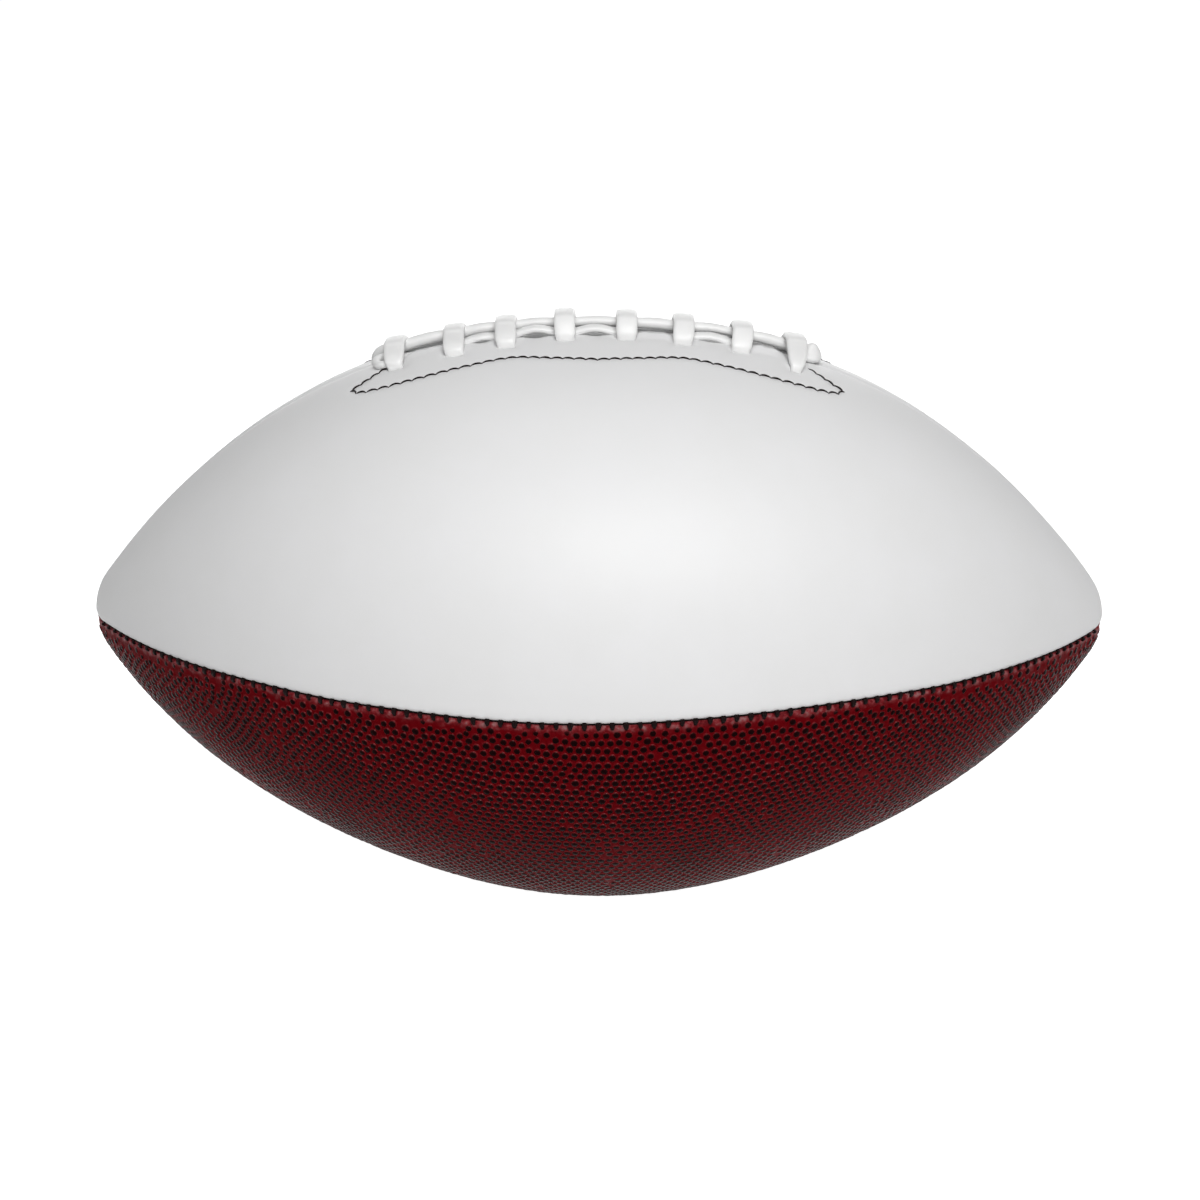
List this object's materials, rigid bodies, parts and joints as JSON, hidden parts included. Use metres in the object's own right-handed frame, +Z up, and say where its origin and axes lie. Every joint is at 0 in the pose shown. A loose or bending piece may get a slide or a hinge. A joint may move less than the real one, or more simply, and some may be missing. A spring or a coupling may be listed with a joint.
{
  "type": "american football",
  "caption": "Pointed oval ball with white upper panels, pebbled burgundy lower panels, a raised white lace on top, and a needle valve to inflate the bladder inside.",
  "frame": {"origin": "floor point under the middle of the ball, at the centre of its box's bottom face", "axes": "+X along the ball from tip to tip, +Z up through the laces, -Y towards the pictured side"},
  "size_m": [0.2892, 0.1636, 0.1696],
  "materials": {
    "white_leather": "smooth satin",
    "pebbled_leather": "pebbled, dark tops over red valleys",
    "lace_cord": "satin",
    "thread": "waxed",
    "lining_cloth": "woven",
    "facing_leather": "matte",
    "bladder_rubber": "matte",
    "valve_rubber": "satin"
  },
  "bodies": {
    "root": {"panel_front_upper": "white_leather", "panel_rear_upper": "white_leather", "panel_front_lower": "pebbled_leather", "panel_rear_lower": "pebbled_leather", "lining_front_upper": "lining_cloth", "lining_rear_upper": "lining_cloth", "lining_front_lower": "lining_cloth", "lining_rear_lower": "lining_cloth", "lace_facing_front": "facing_leather", "facing_stitch_front": "thread", "lace_facing_rear": "facing_leather", "facing_stitch_rear": "thread", "seam_thread_front": "thread", "seam_thread_bottom": "thread", "seam_thread_rear": "thread", "seam_thread_lace_left": "thread", "seam_thread_lace_right": "thread", "lace": "lace_cord", "lace_tongue": "facing_leather", "bladder": "bladder_rubber", "valve_body": "valve_rubber", "valve_core": "valve_rubber"}
  },
  "joints": []
}
